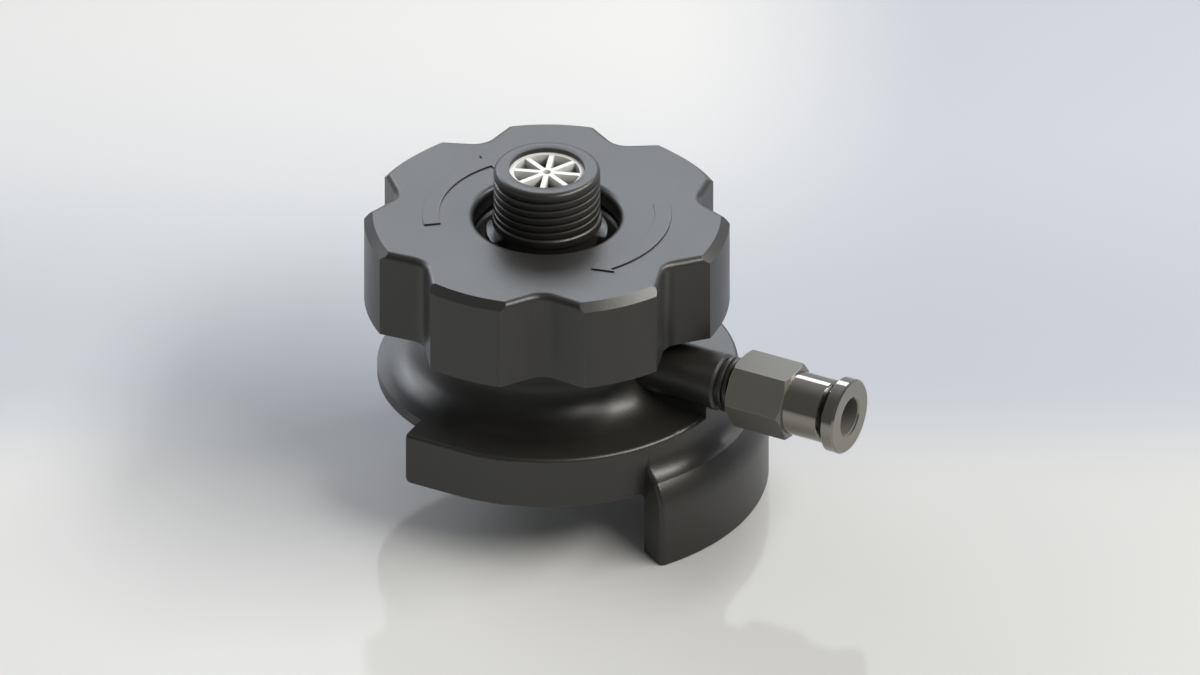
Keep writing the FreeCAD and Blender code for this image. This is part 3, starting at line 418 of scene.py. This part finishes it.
def helical_ridge(root, crest, pitch, start, turns, sides, bearing):
    """Makes one screw thread with a rounded crest. It sinks a little into the core of radius root.

    RIDGE_HALF_WIDTH is a share of the pitch. RIDGE_FLANK holds steps up the flank: how far each lies
    below the crest, as a share of the depth, and how wide the ridge is there, as a share of its foot.
    """
    half = pitch * RIDGE_HALF_WIDTH
    depth = crest - root
    flank = [(root - RIDGE_SINK, 1.0)]
    flank += [(crest - depth * below, width) for below, width in RIDGE_FLANK]
    profile = [(radius, -half * width) for radius, width in flank]
    profile += [(radius, half * width) for radius, width in reversed(flank)]
    draw_line([(radius, 0, start + height) for radius, height in profile])
    close_line()
    bpy.ops.object.mode_set(mode="OBJECT")
    ridge = bpy.context.object
    screw = ridge.modifiers.new("screw", "SCREW")
    screw.steps = screw.render_steps = round(sides * turns)
    screw.angle = 2 * math.pi * turns
    screw.screw_offset = pitch * turns
    screw.use_smooth_shade = False
    bpy.ops.object.modifier_apply(modifier="screw")
    bpy.ops.object.mode_set(mode="EDIT")
    bpy.ops.mesh.select_mode(type="EDGE")
    bpy.ops.mesh.select_all(action="DESELECT")
    bpy.ops.mesh.select_non_manifold()
    bpy.ops.mesh.edge_face_add()
    face_outwards()
    ridge.rotation_euler = (0, 0, math.radians(bearing))
    bpy.ops.object.transform_apply(rotation=True)
    return ridge


def add_solid(piece, other):
    """Fuses another closed piece into one, and removes the other."""
    pick(piece)
    fuse = piece.modifiers.new("fuse", "BOOLEAN")
    fuse.operation = "UNION"
    fuse.solver = "EXACT"
    fuse.object = other
    bpy.ops.object.modifier_apply(modifier="fuse")
    bpy.data.objects.remove(other)


def round_edges(piece, width):
    """Bevels the sharp edges of a piece and shades its faces smooth."""
    pick(piece)
    rounding = piece.modifiers.new("edge", "BEVEL")
    rounding.width = width
    rounding.segments = 2
    rounding.limit_method = "ANGLE"
    rounding.angle_limit = ROUNDED_ANGLE
    bpy.ops.object.modifier_apply(modifier="edge")
    bpy.ops.object.shade_smooth_by_angle(angle=ROUNDED_ANGLE)


SPIGOT_SIDES = 96
SPIGOT_EDGE = 0.00012
SHANK_RADIUS = 0.0111
COLLAR_RADIUS = 0.0117
COLLAR_FOOT = 0.0373
COLLAR_TOP = 0.0392
COLLAR_CHAMFER = 0.00035
THREAD_CREST = 0.0114
THREAD_ROOT = 0.01085
THREAD_PITCH = 0.001814
THREAD_START = 0.03915
THREAD_TURNS = 5.1
THREAD_BEARING = 118
CORE_TOP = 0.0483
RIM_FOOT = 0.0486
RIM_ROUND = 0.0011
MOUTH_RADIUS = 0.0081
MOUTH_FLOOR = 0.0453
CHAMBER_RADIUS = 0.0074
CHAMBER_FLOOR = 0.0344
SEAT_RADIUS = 0.00885
TUBE_RADIUS = 0.00905
TUBE_TOP = 0.0330

spigot_low, spigot_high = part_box("outlet_spigot")
foot, top = spigot_low[2], spigot_high[2]
rim = [at_angle(RIM_ROUND, degrees, 0)[:2] for degrees in range(0, 91, 15)]
spigot = turn_profile("threaded_spigot", [
    (TUBE_RADIUS, foot),
    (SHANK_RADIUS, foot),
    (SHANK_RADIUS, COLLAR_FOOT),
    (COLLAR_RADIUS, COLLAR_FOOT),
    (COLLAR_RADIUS, COLLAR_TOP - COLLAR_CHAMFER),
    (COLLAR_RADIUS - COLLAR_CHAMFER, COLLAR_TOP),
    (THREAD_ROOT, COLLAR_TOP),
    (THREAD_ROOT, CORE_TOP),
    (THREAD_CREST, RIM_FOOT),
    *[(THREAD_CREST - RIM_ROUND + out, top - RIM_ROUND + up) for out, up in rim],
    (MOUTH_RADIUS, top),
    (MOUTH_RADIUS, MOUTH_FLOOR),
    (CHAMBER_RADIUS, MOUTH_FLOOR),
    (CHAMBER_RADIUS, CHAMBER_FLOOR),
    (SEAT_RADIUS, CHAMBER_FLOOR),
    (SEAT_RADIUS, TUBE_TOP),
    (TUBE_RADIUS, TUBE_TOP),
], SPIGOT_SIDES)
round_edges(spigot, SPIGOT_EDGE)
add_solid(spigot, helical_ridge(THREAD_ROOT, THREAD_CREST, THREAD_PITCH, THREAD_START,
                                THREAD_TURNS, SPIGOT_SIDES, THREAD_BEARING))

EAR_BEARINGS = (33.5, 213.5)
EAR_SPAN = 45
EAR_STEPS = 8
EAR_INNER = 0.0105
EAR_OUTER = 0.013
EAR_FOOT = 0.0315
EAR_HEIGHT = 0.004
EAR_EDGE = 0.0003

for bearing in EAR_BEARINGS:
    spread = [bearing - EAR_SPAN / 2 + EAR_SPAN / EAR_STEPS * step for step in range(EAR_STEPS + 1)]
    outer_side = [at_angle(EAR_OUTER, degrees, EAR_FOOT) for degrees in spread]
    inner_side = [at_angle(EAR_INNER, degrees, EAR_FOOT) for degrees in reversed(spread)]
    ear = raise_outline(outer_side + inner_side, EAR_HEIGHT)
    round_edges(ear, EAR_EDGE)
    add_solid(spigot, ear)
bpy.ops.object.shade_smooth_by_angle(angle=SMOOTH_ANGLE)
dress(spigot, charcoal_nylon)
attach(spigot, "probe")
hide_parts("outlet_spigot")

# Gas nipple: a black nylon nipple. Its shank is screwed into the boss, and its coarse outer thread,
# of which three turns show, carries the push-in fitting.

NIPPLE_SIDES = 72
NIPPLE_BORE = 0.0026
NIPPLE_SHANK = 0.00495
NIPPLE_ROOT = 0.0053
NIPPLE_CREST = 0.00605
NIPPLE_PITCH = 0.001337
NIPPLE_THREAD_START = 0.0437
NIPPLE_TURNS = 9.0
NIPPLE_BEARING = 90
NIPPLE_CHAMFER = 0.0005
BOSS_END = 0.0430
VALVE_RADIUS = 0.0039
VALVE_FLOOR = 0.0460
GAS_HEIGHT = 0.0092
FINE_GRAIN = 0.000006

nipple_low, nipple_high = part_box("gas_nipple")
start, end = nipple_low[0], nipple_high[0]
nipple = turn_profile("threaded_nipple", [
    (NIPPLE_BORE, start),
    (NIPPLE_SHANK, start),
    (NIPPLE_SHANK, BOSS_END),
    (NIPPLE_ROOT, BOSS_END),
    (NIPPLE_ROOT, end - NIPPLE_CHAMFER),
    (NIPPLE_ROOT - NIPPLE_CHAMFER, end),
    (VALVE_RADIUS, end),
    (VALVE_RADIUS, VALVE_FLOOR),
    (NIPPLE_BORE, VALVE_FLOOR),
], NIPPLE_SIDES)
add_solid(nipple, helical_ridge(NIPPLE_ROOT, NIPPLE_CREST, NIPPLE_PITCH, NIPPLE_THREAD_START,
                                NIPPLE_TURNS, NIPPLE_SIDES, NIPPLE_BEARING))
nipple.rotation_euler = (0, math.pi / 2, 0)
nipple.location = (0, 0, GAS_HEIGHT)
bpy.ops.object.transform_apply(location=True, rotation=True)
bpy.ops.object.shade_smooth_by_angle(angle=SMOOTH_ANGLE)
dress(nipple, moulded_nylon("black_nylon", FINE_GRAIN))
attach(nipple, "body")
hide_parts("gas_nipple")

# Push-in fitting: turned from hexagon brass bar and nickel plated. The hexagon and the bore stay
# dull, and the barrel and the collet are polished, with the tool's fine rings round them.

DULL_DEEP, DULL_PALE = shade(0.143, 0.138, 0.124), shade(0.166, 0.160, 0.144)
BRIGHT_DEEP, BRIGHT_PALE = shade(0.255, 0.242, 0.217), shade(0.300, 0.286, 0.258)
NICKEL_WEAR_AND_HIGHLIGHT = shade(0.42, 0.40, 0.36)
NICKEL_EDGE = 0.0004
HEXAGON_END = (0.0600, 0.0604)
BORE_RADIUS = (0.0041, 0.0042)

nickel = Finish("turned_nickel")
place = nickel.place()
clouds = nickel.mottle(place, 90)
rings = nickel.mottle(nickel.place((0, 0, 0), (4000, 40, 40)), 1.0, 4.0)
along = nickel.node("SeparateXYZ", None, {"Vector": place})
from_axis = nickel.node("VectorMath", {"operation": "MULTIPLY"}, {
    0: nickel.node("VectorMath", {"operation": "SUBTRACT"}, {0: place, 1: (0, 0, GAS_HEIGHT)}),
    1: (0, 1, 1)})
radius = nickel.node("VectorMath", {"operation": "LENGTH"}, {0: from_axis}, 1)
bright = nickel.between(along, *HEXAGON_END) * nickel.between(radius, *BORE_RADIUS)
dull_colour = nickel.tint(clouds, DULL_DEEP, DULL_PALE)
bright_colour = nickel.tint(clouds, BRIGHT_DEEP, BRIGHT_PALE)
plated = nickel.tint(bright, dull_colour, bright_colour)
nickel_plate = nickel.paint({
    # The sharp edges are painted lighter: partly wear through the plating, partly a painted highlight
    # along the edges.
    "Base Color": nickel.tint(sharp_edges(nickel, NICKEL_EDGE) * 0.4, plated, NICKEL_WEAR_AND_HIGHLIGHT),
    "Metallic": 0.25 + 0.70 * bright,
    "Roughness": 0.45 - 0.40 * bright + 0.04 * rings + 0.03 * clouds,
    "Normal": nickel.relief(rings, 0.000004),
})
for name in ("fitting_body", "release_collet"):
    dress(nodes[name], nickel_plate)

# Flow insert: a white acetal disc with eight spokes in the mouth of the outlet. It is moulded
# smooth, with a soft gloss. Painted shade darkens it deep between its spokes, fading in from the top.

WHITE_DEEP, WHITE_PALE = shade(0.74, 0.74, 0.72), shade(0.80, 0.80, 0.78)
WHITE_PAINTED_SHADE = shade(0.12, 0.115, 0.105)
INSERT_SHADE_FADE = (0.0462, 0.0496)

white = Finish("white_acetal")
flow = white.mottle(white.place(), 260)
height = white.node("SeparateXYZ", None, {"Vector": white.place()}, output=2)
white_unshaded = white.tint(flow, WHITE_DEEP, WHITE_PALE)
dress(nodes["flow_insert"], white.paint({
    # Painted shade: the insert is mixed darker towards its foot, deep between the spokes.
    "Base Color": white.tint(white.between(height, *INSERT_SHADE_FADE), WHITE_PAINTED_SHADE, white_unshaded),
    "Roughness": 0.28 + 0.12 * flow,
    "Normal": white.relief(white.mottle(white.place(), 1800, 2.0), 0.000004),
}))

# Probe: a stainless steel tube that carries the beer down into the keg's valve, with a flanged bush
# pressed into its foot. Both are turned, and keep the fine rings of the tool.

STAINLESS_PALE, STAINLESS_DEEP = shade(0.62, 0.61, 0.59), shade(0.50, 0.50, 0.49)

steel = Finish("turned_stainless")
rings = steel.mottle(steel.place((0, 0, 0), (30, 30, 5200)), 1.0, 4.0)
patches = steel.mottle(steel.place(), 120)
streaks = steel.mottle(steel.place((0.4, 0.2, 0), (180, 2600, 300)), 1.0)
scratches = steel.between(streaks, 0.62, 0.75)
stainless = steel.paint({
    "Base Color": steel.tint(0.7 * patches + 0.3 * rings, STAINLESS_PALE, STAINLESS_DEEP),
    "Metallic": 1.0,
    "Roughness": 0.20 + 0.14 * rings + 0.10 * patches + 0.10 * scratches,
    "Normal": steel.relief(rings, 0.000008),
})
for name in ("probe_tube", "seal_retainer"):
    dress(nodes[name], stainless)

# Cam sleeve, pin carrier, thrust washer and spacer: moulded in natural acetal, which runs dry against
# nylon and steel. Where the parts rub, the milky surface has a slight polish.

MILKY_DEEP, MILKY_PALE = shade(0.72, 0.71, 0.67), shade(0.79, 0.785, 0.75)
MILKY_RUBBED = shade(0.86, 0.855, 0.83)
ACETAL_EDGE = 0.0004

acetal = Finish("natural_acetal")
flow = acetal.mottle(acetal.place(), 140)
skin = acetal.mottle(acetal.place(), 1500, 2.0)
acetal_colour = acetal.tint(flow, MILKY_DEEP, MILKY_PALE)
natural_acetal = acetal.paint({
    "Base Color": acetal.tint(sharp_edges(acetal, ACETAL_EDGE) * 0.4, acetal_colour, MILKY_RUBBED),
    "Roughness": 0.34 + 0.12 * flow + 0.06 * skin,
    "Normal": acetal.relief(skin, 0.000006),
})
for name in ("cam_sleeve", "thrust_washer", "pin_carrier", "o_ring_spacer"):
    dress(nodes[name], natural_acetal)

# Collet guide: a small bush of black acetal, pressed into the barrel of the fitting. Its bore is
# smooth where the collet slides.

BLACK_DEEP, BLACK_PALE = shade(0.014, 0.014, 0.015), shade(0.024, 0.024, 0.025)

dark = Finish("black_acetal")
flow = dark.mottle(dark.place(), 400)
dress(nodes["collet_guide"], dark.paint({
    "Base Color": dark.tint(flow, BLACK_DEEP, BLACK_PALE),
    "Roughness": 0.26 + 0.16 * flow,
    "Normal": dark.relief(dark.mottle(dark.place(), 3000), 0.000004),
}))

# Snap ring, drive pins, grab ring and check ball: hardened spring steel and a ground ball. The
# hardening leaves a faint straw and blue tint, and the ball and the pins are polished brighter.

STRAW_TINT, BLUE_TINT = shade(0.50, 0.46, 0.40), shade(0.40, 0.43, 0.48)
GROUND_TINT = shade(0.66, 0.66, 0.66)


def spring_steel(name, polish):
    hard = Finish(name)
    heat = hard.mottle(hard.place(), 160)
    streaks = hard.mottle(hard.place((0.5, 0.3, 0.2), (900, 900, 90)), 1.0, 4.0)
    straw_to_blue = hard.tint(heat, STRAW_TINT, BLUE_TINT)
    return hard.paint({
        "Base Color": hard.tint(0.6 * polish + 0.3 * streaks, straw_to_blue, GROUND_TINT),
        "Metallic": 1.0,
        "Roughness": (0.34 - 0.20 * polish) + 0.12 * streaks + 0.06 * heat,
        "Normal": hard.relief(streaks, 0.000003),
    })


ground_steel = spring_steel("ground_steel", 1.0)
formed_steel = spring_steel("formed_steel", 0.0)
for name in ("drive_pin_left", "drive_pin_right", "check_ball"):
    dress(nodes[name], ground_steel)
for name in ("knob_snap_ring", "grab_ring"):
    dress(nodes[name], formed_steel)

# Seals: black nitrile rubber, moulded with a fine matt skin. The face seals, rings, washers, valve
# seat and duckbill all show a little grey bloom, as food-grade rubber does in use.

RUBBER_BLACK, RUBBER_BLOOM = shade(0.016, 0.016, 0.016), shade(0.11, 0.11, 0.105)


def nitrile(name, bloom_amount):
    rubber = Finish(name)
    place = rubber.place()
    bloom = rubber.between(rubber.mottle(place, 220, 5.0), 0.42, 0.74)
    skin = rubber.mottle(place, 3200, 2.0)
    return rubber.paint({
        "Base Color": rubber.tint(bloom * bloom_amount, RUBBER_BLACK, RUBBER_BLOOM),
        "Roughness": 0.56 + 0.20 * bloom + 0.10 * skin,
        "Specular IOR Level": 0.45,
        "Normal": rubber.relief(skin, 0.000010),
    })


open_rubber = nitrile("open_rubber", 0.7)
for name in ("body_seal", "probe_seal"):
    dress(nodes[name], open_rubber)
ring_rubber = nitrile("ring_rubber", 0.3)
for name in ("rod_seal", "outlet_o_ring", "ball_seat", "nipple_washer", "fitting_washer",
             "tube_o_ring", "gas_check_valve"):
    dress(nodes[name], ring_rubber)
